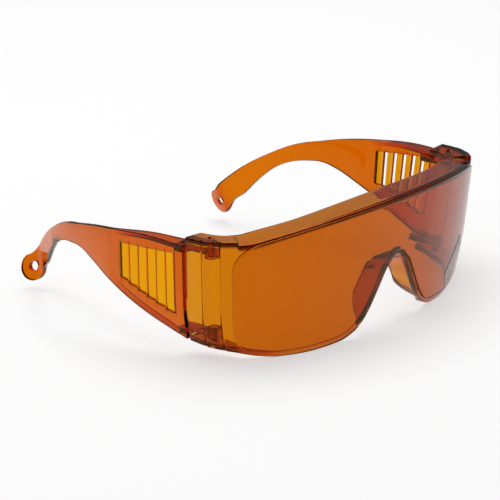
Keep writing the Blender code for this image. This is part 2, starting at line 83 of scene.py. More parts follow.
STRIP_STEP = 0.4
BAND_END = 83.0                  # path where the thicker band round the lens ends
BAND_STEP = 0.3
STEP_EDGE = 0.06                 # half the run of both steps
LOWER_EDGE = (                   # (path, height)
    (0, 28.2), (5.5, 24.0), (11.3, 15.0), (15, 9.3), (19, 4.5), (24, 0.9), (32, -1.6),
    (50, -2.7), (62, -2.2), (70, -0.8), (80, 1.7), (92, 3.2), (104, 4.6),
)
FLOOR_DEPTH = ((55, 2.6), (72, 5.0), (84, 9.6), (96, 10.4), (101, 9.2), (110, 9.0))
BRIDGE_DEPTH = 10.5              # flange over the nose
BRIDGE_DROP = 5.0
BRIDGE_DROP_END = 14.0
BRIDGE_TAPER = (15.0, 22.0)
BRIDGE_FLARE = 1.0

PANEL_PROUD = 0.9                # raised lens panel
PANEL_ROOT = 1.0                 # how deep it is set into the wall
PANEL_HALF = 78.7
PANEL_TOP_CORNER = 11.0
PANEL_FOOT_CORNER = 5.5
PANEL_TOP_MARGIN = 0.5
PANEL_FOOT_MARGIN = 1.4

PLATE = 2.0                      # wall of an arm
BOW_RADIUS = 300.0               # plan radius of the arm beside the head
BOW_CENTRE = 38.0
BOW_END = 48.0
BEND_RADIUS = 130.0              # tighter bend behind the vent
BEND_ANGLE = 0.5
PLATE_WIDEST = 82.0
ARM_FRONT = (4.9, 44.4)          # foot and top of the arm at the seam
ARM_TOP = (
    (36, 44.9), (54, 43.4), (68, 41.6), (80, 39.2), (91, 36.6), (102, 31.4), (111, 25.8),
)
ARM_HOOK_TOP = ((116.6, 21.2), (121.2, 16.8), (125.0, 12.6))
TIP_CENTRE = (122.9, 7.6)        # middle of the lanyard eye
TIP_RADIUS = 5.8
TIP_TURNS = (36, 0, -40, -80, -120, -150)    # degrees round the eye
ARM_HOOK_FOOT = ((115.8, 8.8), (111.8, 12.2), (108.2, 16.6), (104, 21.2), (98.6, 25.6))
ARM_FOOT = ((92, 28.6), (85, 29.8), (78, 29.8), (71, 27.4), (60, 21.8), (43, 13.9), (30, 8.7))
LANYARD_HOLE = 4.2
FLARE_DIRECTION = (0.925, -0.38) # the lanyard eye turns back outwards
FLARE_START = 6.0                # this far before the middle of the eye
FLARE_RADIUS = 6.0
FLARE_SLOPE = 0.85
VENT_REAR = 52.8
VENT_FRONT = 24.6
VENT_TOP = (40.6, 38.7)          # at its front and rear
VENT_FOOT = (14.3, 24.2)
VENT_SLATS = 6
VENT_PITCH = (VENT_REAR - VENT_FRONT) / VENT_SLATS
VENT_STEP_SHARE = 0.45           # share of the foot's fall taken along a step
SLAT_WALL = 0.8
SLAT_SWING = 22.0                # degrees
SLAT_ROUND = 0.3
SLAT_SUNK = (1.6, 1.0)           # how far a blade's foot and head go into the arm
RAIL_ROOT = 0.7                  # depth at which the rails join the plate
RAIL_LEAST = 1.4                 # least width of a rail
RAIL_WALL = 2.0
RAIL_WIDTH = 7.2
RAIL_END = 60.0
RAIL_TAPER = 0.9
RAIL_RISE = 0.08                 # rise of its inner edge, per mm of width
RAIL_INSET = 0.2
LOWER_RAIL_WIDTH = 3.6
LOWER_RAIL_END = 66.0
LOWER_RAIL_TAPER = 0.7
LOWER_RAIL_INSET = 0.3

PIVOT_X = 73.9
HINGE_SPAN = (8.7, 42.0)
PIN_RADIUS = 1.25
PIN_ROUND = 0.3
PIN_HOLE = PIN_RADIUS + GAP
BOSS_RADIUS = 2.5
TONGUE_HALF = 2.2
TONGUE_WALL = 2.2
TONGUE_REACH = 4.0               # how far it runs back behind the seam
TONGUE_ROOT_DEPTH = 1.0
TONGUE_ROOT_REACH = 5.0
TONGUE_ROOT_EXTRA = 0.2          # the root is thicker than the tongue each way
TONGUE_ROOT_INSET = 0.3
UPPER_TONGUE = 41.4
LOWER_TONGUE = 7.0
UPPER_BOSS = (40.0, 43.9)
LOWER_BOSS = (6.6, 10.4)
UPPER_PIN = (40.3, 46.6)
LOWER_PIN = (3.9, 10.1)

LABEL_LENGTH = 22.0
LABEL_WIDTH = 7.5
LABEL_TILT = 33.0                # degrees
LABEL_CORNER = (44.0, 6.5)       # path and height of its inner corner
LABEL_ROUND = 0.9

# ------------------------------------------------ what only the looks need, mm
LABEL_LOOK_WALL = 0.12
LABEL_LIFT = 0.02                # kept off the lens, so that the two never share a face
LOOK_FILLET = 1.3                # tight rounding between lens and brow shelf
FOOT_ROUND = 0.5                 # the other roundings of the front's section
SHELF_REAR_ROUND = 0.6
SHELF_UNDER_ROUND = 0.4
ROOF_ROUND = 0.8
FLOOR_ROUND = 0.9
CREASE_DEPTH = 0.42              # crease the mould's inserts leave at each step
CREASE_HALF = 0.3
PANEL_ROUND = 0.75               # rounding of the panel's rim
HAIRLINE = 0.02                  # rounding of a corner that is hidden in the wall
EDGE_ROUND = 0.28                # moulded edges are never quite sharp
ROUND_LIMIT = 0.45               # a rounding takes at most this share of a side

# ------------------------------------------------------------- how it is meshed
RING_STEP = 0.9                  # mm between rings where nothing is close
FRONT_SPANS = (18, 8, 2, 8, 18, 5, 3, 5)     # points along each side of a section
PANEL_SPANS = (18, 3, 18, 3)
FRONT_CLOSE = (                  # (from, to, mm between rings)
    (0.0, 14.0, 0.6),
    (COVER_START - 0.6, COVER_START + 0.5, 0.12),
    (BAND_END - 1.2, BAND_END + 1.0, 0.08),
    (STRIP_START - 1.2, STRIP_START + 1.0, 0.08),
)
PANEL_CLOSE = (
    (0.0, 14.0, 0.6),
    (PANEL_HALF - 10.0, PANEL_HALF - 1.3, 0.4),
    (PANEL_HALF - 1.4, PANEL_HALF, 0.07),
)
ARM_CUTS = (SEAM + 2.0, TIP_CENTRE[0] + 4.0, 52)
FOOT_CUTS = (6.0, CURL_HEIGHT, 8)
RAIL_RINGS = 24
LABEL_ROWS = 12
LABEL_ENDS = (0.03, 0.1, 0.25, 0.5, 0.9)     # rings over its rounded corners
LABEL_BODY = (1.5, LABEL_LENGTH - 1.5, 22)
THROUGH = (-10.0, 60.0)          # heights that clear the whole hinge line
HOLE_CUT = 12.0                  # long enough to pass right through the eye
WELD = 0.00001
MERGE = 0.002
SLIVER = 0.001
RIM_ANGLE = 1.0                  # radians; an edge this sharp is a rim
SHARP_ANGLE = math.radians(38.0)


# ============================================================ small helpers
def blend(value, start, end):
    t = min(max((value - start) / (end - start), 0.0), 1.0)
    return t * t * (3.0 - 2.0 * t)


def mix(a, b, share):
    return a + (b - a) * share


def along(points, value):
    """A smooth curve through (place, amount) points, level beyond the ends."""
    if value <= points[0][0]:
        return points[0][1]
    if value >= points[-1][0]:
        return points[-1][1]
    slopes = [0.0]
    for (x0, y0), (x1, y1), (x2, y2) in zip(points, points[1:], points[2:]):
        before = (y1 - y0) / (x1 - x0)
        after = (y2 - y1) / (x2 - x1)
        turns_back = before * after <= 0
        slopes.append(0.0 if turns_back else 2 * before * after / (before + after))
    slopes.append(0.0)
    for i, ((x0, y0), (x1, y1)) in enumerate(zip(points, points[1:])):
        if value <= x1:
            step = x1 - x0
            t = (value - x0) / step
            rise = (y1 - y0) * (3 * t * t - 2 * t ** 3)
            lead = slopes[i] * t * (1 - t) ** 2
            trail = slopes[i + 1] * t * t * (1 - t)
            return y0 + rise + step * (lead - trail)
    return points[-1][1]


# ================================================================== forming
def side_lean(y):
    return SIDE_LEAN * (1.0 - blend(y, *SIDE_LEAN_END))


def rake(y):
    return RAKE * (1.0 - blend(y, *RAKE_END))


def curl(y, z):
    low = max(0.0, (CURL_HEIGHT - z) / CURL_HEIGHT)
    return SIDE_CURL * low * low * (1.0 - blend(y, *SIDE_LEAN_END))


def formed(x, y, z):
    """Leans an upright drawing point and gives its place, still in millimetres."""
    height = z - LEAN_HEIGHT
    share = x / PLATE_WIDEST
    leaned_x = x + (side_lean(y) * height - curl(y, z)) * share
    leaned_y = y + rake(y) * height - LENGTH_CENTRE
    return Vector((leaned_x, leaned_y, z - TABLE))


def hinge_point(side, height):
    """Place of a height on one side's straight hinge line."""
    low, high = HINGE_SPAN
    foot = formed(side * PIVOT_X, PIN_LINE, low)
    head = formed(side * PIVOT_X, PIN_LINE, high)
    return foot.lerp(head, (height - low) / (high - low))


# ================================================================ front plan
FRONT_TURN = math.asin(FRONT_HALF / FRONT_RADIUS)
WING_TURN = math.radians(90.0 - WING_TOE)
CORNER_RADIUS = (CORNER_END_X - FRONT_HALF) / (math.sin(WING_TURN) - math.sin(FRONT_TURN))
FRONT_PATH = FRONT_RADIUS * FRONT_TURN
CORNER_PATH = CORNER_RADIUS * (WING_TURN - FRONT_TURN)
FRONT_END_Y = FRONT_APEX + FRONT_RADIUS * (1.0 - math.cos(FRONT_TURN))
CORNER_END_Y = FRONT_END_Y + CORNER_RADIUS * (math.cos(FRONT_TURN) - math.cos(WING_TURN))
WING_END = FRONT_PATH + CORNER_PATH + (SEAM - GAP - CORNER_END_Y) / math.sin(WING_TURN)


def front_plan(path):
    """Point and inward direction on the outer face, path mm from the middle."""
    run = abs(path)
    if run <= FRONT_PATH:
        turn = run / FRONT_RADIUS
        x = FRONT_RADIUS * math.sin(turn)
        y = FRONT_APEX + FRONT_RADIUS * (1.0 - math.cos(turn))
    elif run <= FRONT_PATH + CORNER_PATH:
        turn = FRONT_TURN + (run - FRONT_PATH) / CORNER_RADIUS
        x = FRONT_HALF + CORNER_RADIUS * (math.sin(turn) - math.sin(FRONT_TURN))
        y = FRONT_END_Y + CORNER_RADIUS * (math.cos(FRONT_TURN) - math.cos(turn))
    else:
        turn = WING_TURN
        rest = run - FRONT_PATH - CORNER_PATH
        x = CORNER_END_X + rest * math.cos(turn)
        y = CORNER_END_Y + rest * math.sin(turn)
    side = math.copysign(1.0, path)
    return side * x, y, -side * math.sin(turn), math.cos(turn)


def section_point(path, depth, z):
    x, y, inward_x, inward_y = front_plan(path)
    return x + inward_x * depth, y + inward_y * depth, z


def plain_top(path):
    x = min(abs(front_plan(path)[0]), FRONT_HALF)
    return TOP_CENTRE - TOP_DROP * (x / FRONT_HALF) ** 2


def lower_edge(path):
    """Height of the lower edge, and how steep it is there."""
    run = abs(path)
    rise = along(LOWER_EDGE, run + 0.5) - along(LOWER_EDGE, max(run - 0.5, 0.0))
    return along(LOWER_EDGE, run), abs(rise)


# ================================================================== meshing
def new_mesh_object(name, bm):
    mesh = bpy.data.meshes.new(name)
    bm.to_mesh(mesh)
    bm.free()
    item = bpy.data.objects.new(name, mesh)
    bpy.context.scene.collection.objects.link(item)
    return item


def turn_outward(bm):
    """Faces outwards: recalculated, then turned round if the whole is inside out."""
    bmesh.ops.recalc_face_normals(bm, faces=bm.faces)
    if bm.calc_volume(signed=True) < 0.0:
        bmesh.ops.reverse_faces(bm, faces=bm.faces)


def swept(name, stations, ring_at):
    """Closed bar through the rings at the stations: a grid rolled up and capped."""
    rings = [ring_at(station) for station in stations]
    across = len(rings[0])
    last = len(rings) - 1
    bm = bmesh.new()
    bmesh.ops.create_grid(bm, x_segments=across, y_segments=last, size=1.0)
    for vert in bm.verts:
        i = round((vert.co.x + 1.0) * 0.5 * across) % across
        j = round((vert.co.y + 1.0) * 0.5 * last)
        vert.co = rings[j][i]
    bmesh.ops.remove_doubles(bm, verts=bm.verts, dist=WELD)
    open_ends = [edge for edge in bm.edges if edge.is_boundary]
    bmesh.ops.holes_fill(bm, edges=open_ends, sides=0)
    bmesh.ops.triangulate(bm, faces=[face for face in bm.faces if len(face.verts) > 4])
    turn_outward(bm)
    return new_mesh_object(name, bm)


def with_modifiers_applied(item):
    graph = bpy.context.evaluated_depsgraph_get()
    mesh = bpy.data.meshes.new_from_object(item.evaluated_get(graph))
    item.modifiers.clear()
    item.data = mesh


def cut_or_join(target, tool, operation):
    step = target.modifiers.new(operation.title(), "BOOLEAN")
    step.operation = operation
    step.solver = "EXACT"
    step.object = tool
    with_modifiers_applied(target)
    bpy.data.objects.remove(tool)


def reshape(item, function):
    """Moves every corner of an upright drawing to its formed place."""
    bm = bmesh.new()
    bm.from_mesh(item.data)
    for vert in bm.verts:
        vert.co = function(*vert.co)
    turn_outward(bm)
    bm.to_mesh(item.data)
    bm.free()


def hinge_cylinder(name, radius, span, sides, segments=32, edge=0.0):
    """Cylinders on the hinge line of each of the sides, between two heights."""
    bm = bmesh.new()
    for side in sides:
        foot, head = (hinge_point(side, height) for height in span)
        turn = (head - foot).to_track_quat("Z", "Y").to_matrix().to_4x4()
        place = Matrix.Translation(foot.lerp(head, 0.5)) @ turn
        made = bmesh.ops.create_cone(
            bm, cap_ends=True, segments=segments, radius1=radius, radius2=radius,
            depth=(head - foot).length, matrix=place,
        )
        if edge:
            edges = {e for vert in made["verts"] for e in vert.link_edges}
            rims = {e for e in edges if e.calc_face_angle(0.0) > RIM_ANGLE}
            bmesh.ops.bevel(
                bm, geom=list(rims), offset=edge, offset_type="OFFSET", affect="EDGES",
                segments=3, profile=0.5, material=-1,
            )
    return new_mesh_object(name, bm)


def finished(item):
    """Turns millimetres to metres, and smooths what isn't an edge."""
    bm = bmesh.new()
    bm.from_mesh(item.data)
    bmesh.ops.remove_doubles(bm, verts=bm.verts, dist=MERGE)
    bmesh.ops.dissolve_degenerate(bm, edges=bm.edges, dist=SLIVER)
    bmesh.ops.scale(bm, vec=(MM, MM, MM), verts=bm.verts)
    turn_outward(bm)
    bm.to_mesh(item.data)
    bm.free()
    item.data.shade_smooth()
    item.data.set_sharp_from_angle(angle=SHARP_ANGLE)


# =============================================================== lens front
def outer_offset(path):
    """Depth of the outer face: thicker band round the panel, thinner rear strip."""
    run = abs(path)
    depth = mix(-BAND_STEP, 0.0, blend(run, BAND_END - STEP_EDGE, BAND_END + STEP_EDGE))
    past_strip = blend(run, STRIP_START - STEP_EDGE, STRIP_START + STEP_EDGE)
    depth = mix(depth, STRIP_STEP, past_strip)
    for step in (BAND_END, STRIP_START):
        depth += CREASE_DEPTH * math.exp(-((run - step) / CREASE_HALF) ** 2)
    return depth


def rounded_ring(corners, spans):
    """Points round a section: each corner is (depth, z, radius, points)."""
    ring = []
    count = len(corners)
    for i in range(count):
        before, here, after = corners[i - 1], corners[i], corners[(i + 1) % count]
        place = Vector(here[:2])
        back = Vector(before[:2]) - place
        forth = Vector(after[:2]) - place
        start = place + back.normalized() * min(here[2], ROUND_LIMIT * back.length)
        end = place + forth.normalized() * min(here[2], ROUND_LIMIT * forth.length)
        for k in range(here[3] + 1):
            t = k / here[3]
            ring.append(start * (1 - t) ** 2 + place * 2 * t * (1 - t) + end * t * t)
        reach = min(after[2], ROUND_LIMIT * forth.length)
        stop = Vector(after[:2]) - forth.normalized() * reach
        for k in range(1, spans[i]):
            ring.append(end.lerp(stop, k / spans[i]))
    return ring


def front_ring(path):
    x = abs(front_plan(path)[0])
    run = abs(path)
    outer = outer_offset(path)
    plain = plain_top(path)
    top = plain + COVER_RISE * blend(run, COVER_START - COVER_EDGE, COVER_START + COVER_EDGE)
    shelf = along(SHELF_DEPTH, run)
    rear = plain - SHELF_DROP + COVER_RISE * blend(run, COVER_RUN_IN, COVER_START)
    foot, slope = lower_edge(path)
    rear_path = max(x - BRIDGE_FLARE, 0.0) if x < BRIDGE_TAPER[1] else path
    rear_foot, _ = lower_edge(rear_path)
    rear_foot -= BRIDGE_DROP * (1.0 - blend(x, 0.0, BRIDGE_DROP_END))
    floor_wall = WALL * math.hypot(1.0, slope)
    floor = mix(along(FLOOR_DEPTH, run), BRIDGE_DEPTH, 1.0 - blend(x, *BRIDGE_TAPER))
    corners = [
        (outer, foot, FOOT_ROUND, 4),
        (outer, top, LOOK_FILLET, 8),
        (shelf, rear, SHELF_REAR_ROUND, 5),
        (shelf, rear - ROOF_WALL, SHELF_UNDER_ROUND, 4),
        (WALL, top - ROOF_WALL - ROOF_FALL, ROOF_ROUND, 7),
        (WALL, foot + floor_wall, FLOOR_ROUND, 5),
        (floor, rear_foot + floor_wall, FOOT_ROUND, 4),
        (floor, rear_foot, FOOT_ROUND, 4),
    ]
    ring = rounded_ring(corners, FRONT_SPANS)
    return [section_point(path, depth, z) for depth, z in ring]


def stations_for(end, close):
    """Path lengths of the rings, which are finer inside the close spans."""
    half = [0.0]
    while half[-1] < end:
        step = RING_STEP
        for low, high, fine in close:
            if low <= half[-1] < high:
                step = fine
        half.append(half[-1] + step)
    half[-1] = end
    if end - half[-2] < 0.5 * (half[-2] - half[-3]):
        half.pop(-2)
    return [-path for path in reversed(half[1:])] + half


def corner_inset(path, radius):
    """How much a rounded corner of the panel takes off its height."""
    rest = max(radius - (PANEL_HALF - abs(path)), 0.0)
    return radius - math.sqrt(max(radius * radius - rest * rest, 0.0))


def panel_ring(path):
    foot, slope = lower_edge(path)
    foot += PANEL_FOOT_MARGIN * math.hypot(1.0, slope) + corner_inset(path, PANEL_FOOT_CORNER)
    top = plain_top(path) - PANEL_TOP_MARGIN - corner_inset(path, PANEL_TOP_CORNER)
    proud = corner_inset(path, PANEL_ROUND) - PANEL_PROUD
    corners = [
        (proud, foot, PANEL_ROUND, 5),
        (proud, top, PANEL_ROUND, 5),
        (PANEL_ROOT, top, HAIRLINE, 1),
        (PANEL_ROOT, foot, HAIRLINE, 1),
    ]
    ring = rounded_ring(corners, PANEL_SPANS)
    return [section_point(path, depth, z) for depth, z in ring]


def build_front():
    front = swept("lens_front_look", stations_for(WING_END, FRONT_CLOSE), front_ring)
    panel = swept("raised panel", stations_for(PANEL_HALF, PANEL_CLOSE), panel_ring)
    cut_or_join(front, panel, "UNION")
    reshape(front, formed)
    cut_or_join(front, hinge_cylinder("pin holes", PIN_HOLE, THROUGH, (-1, 1)), "DIFFERENCE")
    finished(front)
    return front


# ================================================================= temples
def temple_plan(y):
    """Half width of the outer face of a temple at drawing depth y."""
    y = max(y, SEAM)
    if y <= BOW_END:
        return PLATE_WIDEST - (y - BOW_CENTRE) ** 2 / (2.0 * BOW_RADIUS)
    start = (BOW_END - BOW_CENTRE) / BOW_RADIUS
    bend_end = BOW_END + BEND_RADIUS * (math.sin(BEND_ANGLE) - math.sin(start))
    at_start = temple_plan(BOW_END)
    if y <= bend_end:
        turn = math.asin(math.sin(start) + (y - BOW_END) / BEND_RADIUS)
        return at_start - BEND_RADIUS * (math.cos(start) - math.cos(turn))
    at_end = at_start - BEND_RADIUS * (math.cos(start) - math.cos(BEND_ANGLE))
    return at_end - (y - bend_end) * math.tan(BEND_ANGLE)


def flare(y, z):
    """How far the end of the arm has turned outwards at a place."""
    past_y = (y - TIP_CENTRE[0]) * FLARE_DIRECTION[0]
    past_z = (z - TIP_CENTRE[1]) * FLARE_DIRECTION[1]
    past = FLARE_START + past_y + past_z
    curved = min(max(past, 0.0), FLARE_RADIUS * FLARE_SLOPE)
    return curved * curved / (2.0 * FLARE_RADIUS) + FLARE_SLOPE * max(past - curved, 0.0)


def flat_shape(name, outline, low, high, rounded=(), bevel=0.0):
    """Flat outline in the (y, z) plane, solid from depth low to depth high."""
    curve = bpy.data.curves.new(name, "CURVE")
    curve.dimensions = "2D"
    curve.fill_mode = "BOTH"
    curve.extrude = 0.5 * (high - low)
    spline = curve.splines.new("BEZIER")
    spline.bezier_points.add(len(outline) - 1)
    spline.use_cyclic_u = True
    spline.resolution_u = 12
    for i, (point, (y, z)) in enumerate(zip(spline.bezier_points, outline)):
        kind = "AUTO" if i in rounded else "VECTOR"
        point.co = (y, z, 0.0)
        point.handle_left_type = kind
        point.handle_right_type = kind
    guide = bpy.data.objects.new(name, curve)
    bpy.context.scene.collection.objects.link(guide)
    graph = bpy.context.evaluated_depsgraph_get()
    mesh = bpy.data.meshes.new_from_object(guide.evaluated_get(graph))
    bpy.data.objects.remove(guide)
    bm = bmesh.new()
    bm.from_mesh(mesh)
    bmesh.ops.remove_doubles(bm, verts=bm.verts, dist=0.0001)
    bmesh.ops.dissolve_limit(bm, angle_limit=0.0005, verts=bm.verts, edges=bm.edges)
    middle = 0.5 * (low + high)
    for vert in bm.verts:
        y, z, depth = vert.co
        vert.co = (depth + middle, y, z)
    turn_outward(bm)
    if bevel:
        rims = [edge for edge in bm.edges if edge.calc_face_angle(0.0) > RIM_ANGLE]
        bmesh.ops.bevel(
            bm, geom=rims, offset=bevel, offset_type="OFFSET", affect="EDGES",
            segments=3, profile=0.5, material=-1, clamp_overlap=True,
        )
    return new_mesh_object(name, bm)


def arm_outline():
    """Round the arm: seam, top, hook, lanyard eye, and back along the foot."""
    low, high = ARM_FRONT
    seam = SEAM + GAP
    y, z = TIP_CENTRE
    turns = [math.radians(a) for a in TIP_TURNS]
    tip = [(y + TIP_RADIUS * math.cos(a), z + TIP_RADIUS * math.sin(a)) for a in turns]
    return [(seam, low), (seam, high), *ARM_TOP, *ARM_HOOK_TOP, *tip, *ARM_HOOK_FOOT, *ARM_FOOT]


def vent_outline():
    """The vent is straight at the top and steps down slat by slat below."""
    outline = [(VENT_FRONT, VENT_TOP[0]), (VENT_REAR, VENT_TOP[1])]
    fall = (VENT_FOOT[1] - VENT_FOOT[0]) / VENT_SLATS * VENT_STEP_SHARE
    for i in range(VENT_SLATS):
        rear = VENT_REAR - i * VENT_PITCH
        height = mix(*VENT_FOOT, (rear - VENT_FRONT) / (VENT_REAR - VENT_FRONT))
        outline += [(rear, height), (rear - VENT_PITCH, height - fall)]
    return outline


def build_slats():
    """Six upright blades with rounded edges, front edges inboard."""
    bm = bmesh.new()
    for i in range(VENT_SLATS):
        share = (i + 0.5) / VENT_SLATS
        low = mix(*VENT_FOOT, share) - SLAT_SUNK[0]
        high = mix(*VENT_TOP, share) + SLAT_SUNK[1]
        blade = bmesh.ops.create_cube(bm, size=1.0)["verts"]
        bmesh.ops.scale(bm, vec=(SLAT_WALL, VENT_PITCH, high - low), verts=blade)
        edges = {e for vert in blade for e in vert.link_edges}
        upright = {e for e in edges if abs(e.verts[0].co.z - e.verts[1].co.z) > 1.0}
        rounded = bmesh.ops.bevel(
            bm, geom=list(upright), offset=SLAT_ROUND, offset_type="OFFSET", affect="EDGES",
            segments=3, profile=0.5, material=-1,
        )
        blade = list({vert for vert in blade if vert.is_valid} | set(rounded["verts"]))
        swing = Matrix.Rotation(math.radians(SLAT_SWING), 3, "Z")
        bmesh.ops.rotate(bm, matrix=swing, verts=blade)
        centre = VENT_FRONT + (i + 0.5) * VENT_PITCH
        middle = (PLATE * 0.5, centre, 0.5 * (low + high))
        bmesh.ops.translate(bm, vec=middle, verts=blade)
    return new_mesh_object("slats", bm)


def arm_top(y):
    return along(((SEAM, ARM_FRONT[1]),) + ARM_TOP, y)


def arm_foot(y):
    return along(((SEAM, ARM_FRONT[0]),) + tuple(reversed(ARM_FOOT)), y)


def stations_between(low, high, count):
    return [mix(low, high, i / count) for i in range(count + 1)]


def upper_rail_ring(y):
    share = (y - SEAM - GAP) / (RAIL_END - SEAM - GAP)
    width = RAIL_LEAST + (RAIL_WIDTH - RAIL_LEAST) * max(1.0 - share, 0.0) ** RAIL_TAPER
    top = arm_top(y) - RAIL_INSET
    rise = top + RAIL_RISE * width
    return [
        (RAIL_ROOT, y, top), (width, y, rise),
        (width, y, rise - RAIL_WALL), (RAIL_ROOT, y, top - RAIL_WALL),
    ]


def lower_rail_ring(y):
    share = (y - SEAM - GAP) / (LOWER_RAIL_END - SEAM - GAP)
    spare = LOWER_RAIL_WIDTH - RAIL_LEAST
    width = RAIL_LEAST + spare * max(1.0 - share, 0.0) ** LOWER_RAIL_TAPER
    foot = arm_foot(y) + LOWER_RAIL_INSET
    return [
        (RAIL_ROOT, y, foot), (width, y, foot),
        (width, y, foot + RAIL_WALL), (RAIL_ROOT, y, foot + RAIL_WALL),
    ]


def block(name, low, high):
    bm = bmesh.new()
    bmesh.ops.create_cube(bm, size=1.0)
    bmesh.ops.scale(bm, vec=[b - a for a, b in zip(low, high)], verts=bm.verts)
    bmesh.ops.translate(bm, vec=[0.5 * (a + b) for a, b in zip(low, high)], verts=bm.verts)
    return new_mesh_object(name, bm)


def build_tongue(low):
    """Flat tongue that reaches forward to the pin, and its thicker root."""
    depth = temple_plan(SEAM) - PIVOT_X
    seam = SEAM + GAP
    high = low + TONGUE_WALL
    tongue = block(
        "tongue",
        (depth - TONGUE_HALF, PIN_LINE, low),
        (depth + TONGUE_HALF, seam + TONGUE_REACH, high),
    )
    root = block(
        "tongue root",
        (TONGUE_ROOT_DEPTH, seam, low - TONGUE_ROOT_EXTRA),
        (
            depth + TONGUE_HALF - TONGUE_ROOT_INSET,
            seam + TONGUE_ROOT_REACH,
            high + TONGUE_ROOT_EXTRA,
        ),
    )
    return [tongue, root]


def build_lanyard_hole():
    place = Matrix.Translation((PLATE * 0.5, *TIP_CENTRE)) @ Matrix.Rotation(math.pi / 2, 4, "Y")
    bm = bmesh.new()
    bmesh.ops.create_cone(
        bm, cap_ends=True, segments=40, radius1=LANYARD_HOLE / 2, radius2=LANYARD_HOLE / 2,
        depth=HOLE_CUT, matrix=place,
    )
    return new_mesh_object("lanyard hole", bm)


def sliced(item):
    """Cuts every face across the arm and along its foot, so that it can bend smoothly."""
    bm = bmesh.new()
    bm.from_mesh(item.data)
    cuts = [((0, y, 0), (0, 1, 0)) for y in stations_between(*ARM_CUTS)]
    cuts += [((0, 0, z), (0, 0, 1)) for z in stations_between(*FOOT_CUTS)]
    for place, across in cuts:
        geometry = bm.verts[:] + bm.edges[:] + bm.faces[:]
        bmesh.ops.bisect_plane(bm, geom=geometry, plane_co=place, plane_no=across, dist=WELD)
    bmesh.ops.triangulate(bm, faces=bm.faces)
    bm.to_mesh(item.data)
    bm.free()


def build_temple(name, side):
    outline = arm_outline()
    arm = flat_shape(name, outline, 0.0, PLATE, range(2, len(outline)), EDGE_ROUND)
    cut_or_join(arm, flat_shape("vent", vent_outline(), -1.0, PLATE + 1.0), "DIFFERENCE")
    upper = stations_between(SEAM + GAP, RAIL_END, RAIL_RINGS)
    lower = stations_between(SEAM + GAP, LOWER_RAIL_END, RAIL_RINGS)
    additions = [
        swept("upper rail", upper, upper_rail_ring),
        swept("lower rail", lower, lower_rail_ring),
        build_slats(),
    ]
    additions += build_tongue(UPPER_TONGUE) + build_tongue(LOWER_TONGUE)
    for addition in additions:
        cut_or_join(arm, addition, "UNION")
    cut_or_join(arm, build_lanyard_hole(), "DIFFERENCE")
    sliced(arm)

    def placed(depth_in, y, z):
        return formed(side * (temple_plan(y) + flare(y, z) - depth_in), y, z)

    reshape(arm, placed)
    for span in (UPPER_BOSS, LOWER_BOSS):
        cut_or_join(arm, hinge_cylinder("boss", BOSS_RADIUS, span, (side,)), "UNION")
    cut_or_join(arm, hinge_cylinder("pin bore", PIN_HOLE, THROUGH, (side,)), "DIFFERENCE")
    finished(arm)
    return arm


# ==================================================================== label
def label_ring(length):
    tilt = math.radians(LABEL_TILT)
    ends = max(LABEL_ROUND - length, LABEL_ROUND - (LABEL_LENGTH - length), 0.0)
    inset = LABEL_ROUND - math.sqrt(LABEL_ROUND * LABEL_ROUND - ends * ends)
    widths = stations_between(inset, LABEL_WIDTH - inset, LABEL_ROWS)
    under = -PANEL_PROUD - LABEL_LIFT
    ring = []
    for depth, row in ((under, widths), (under - LABEL_LOOK_WALL, list(reversed(widths)))):
        for width in row:
            path = LABEL_CORNER[0] + length * math.cos(tilt) + width * math.sin(tilt)
            z = LABEL_CORNER[1] + length * math.sin(tilt) - width * math.cos(tilt)
            ring.append(section_point(path, depth, z))
    return ring


def build_label():
    far_ends = [LABEL_LENGTH - end for end in reversed(LABEL_ENDS)]
    stations = [*LABEL_ENDS, *stations_between(*LABEL_BODY), *far_ends]
    label = swept("label_look", stations, label_ring)
    reshape(label, formed)
    finished(label)
    return label


# ================================================================ materials
# Dye colours are what Volume Absorption reads: the light lost per metre of each
# colour is (1 - value) times the density.
DYE_DENSITY = 8000.0
LENS_SKIN = (0.93, 0.8, 0.12)    # what a surface takes out, however thin the wall
ARM_SKIN = (0.93, 0.68, 0.08)
LENS_DYE = (0.979, 0.925, 0.0)   # 2 mm passes 71% of red, 30% of green and no blue
ARM_DYE = (0.9775, 0.895, 0.0)   # the arms are a little deeper orange
PLASTIC_IOR = 1.52               # typical is 1.585; matched to the object
PLASTIC_ROUGHNESS = 0.02
HIGHLIGHT_TINT = (1.0, 0.5, 0.08, 1.0)   # reflections on it look amber
RIPPLE_LENGTH = 14.0             # mm
RIPPLE_HEIGHT = 0.00012          # metres
RUB_SPACING = 0.8                # mm
RUB_STRETCH = 0.05               # so each rub is 16 mm long
MOTTLE_SIZE = 2.5                # mm
PEBBLE_SIZE = 0.3                # mm
PEBBLE_HEIGHT = 0.00004          # metres
PER_METRE = 1000.0               # turns a size in mm into a noise scale


def srgb(code):
    """Linear colour of an sRGB hex value."""
    parts = [int(code[i:i + 2], 16) / 255.0 for i in (0, 2, 4)]
    return [c / 12.92 if c <= 0.04045 else ((c + 0.055) / 1.055) ** 2.4 for c in parts] + [1.0]


def add_node(tree, kind, settings=(), inputs=(), links=()):
    """A new node with its properties, socket values and incoming links."""
    node = tree.nodes.new(kind)
    for name, value in dict(settings).items():
        setattr(node, name, value)
    for name, value in dict(inputs).items():
        node.inputs[name].default_value = value
    for name, source in dict(links).items():
        tree.links.new(source, node.inputs[name])
    return node


def blank_material(name):
    material = bpy.data.materials.new(name)
    material.use_nodes = True
    tree = material.node_tree
    return material, tree, tree.nodes["Principled BSDF"], tree.nodes["Material Output"]


